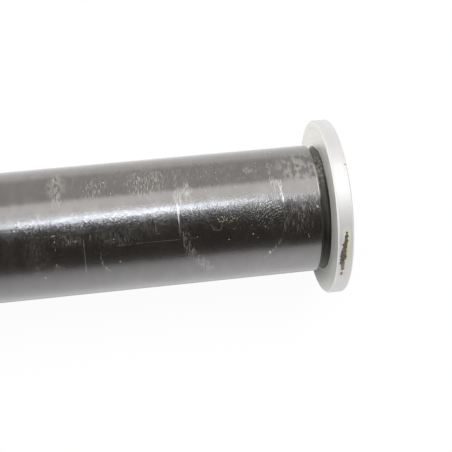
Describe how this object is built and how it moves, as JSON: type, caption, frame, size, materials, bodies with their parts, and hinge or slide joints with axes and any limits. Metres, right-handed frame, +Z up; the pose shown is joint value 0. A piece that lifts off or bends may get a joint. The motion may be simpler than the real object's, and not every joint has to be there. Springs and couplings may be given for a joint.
{
  "type": "front wheel axle",
  "caption": "Hollow turned steel wheel axle: a black journal, a bare flange with a relief groove behind it, a hexagon socket and a threaded tip.",
  "frame": {"origin": "centre of the flange's seat face, on the axle's axis", "axes": "the axle's axis lies along X, with the flange's outer face towards +X and the threaded tip towards -X; +Z is up, and the axle is symmetric about its axis"},
  "size_m": [0.24, 0.0344, 0.0344],
  "materials": {
    "axle_steel": "satin black oxide on the shaft, bare turned steel on the flange"
  },
  "bodies": {
    "root": {"axle": "axle_steel"}
  },
  "joints": []
}
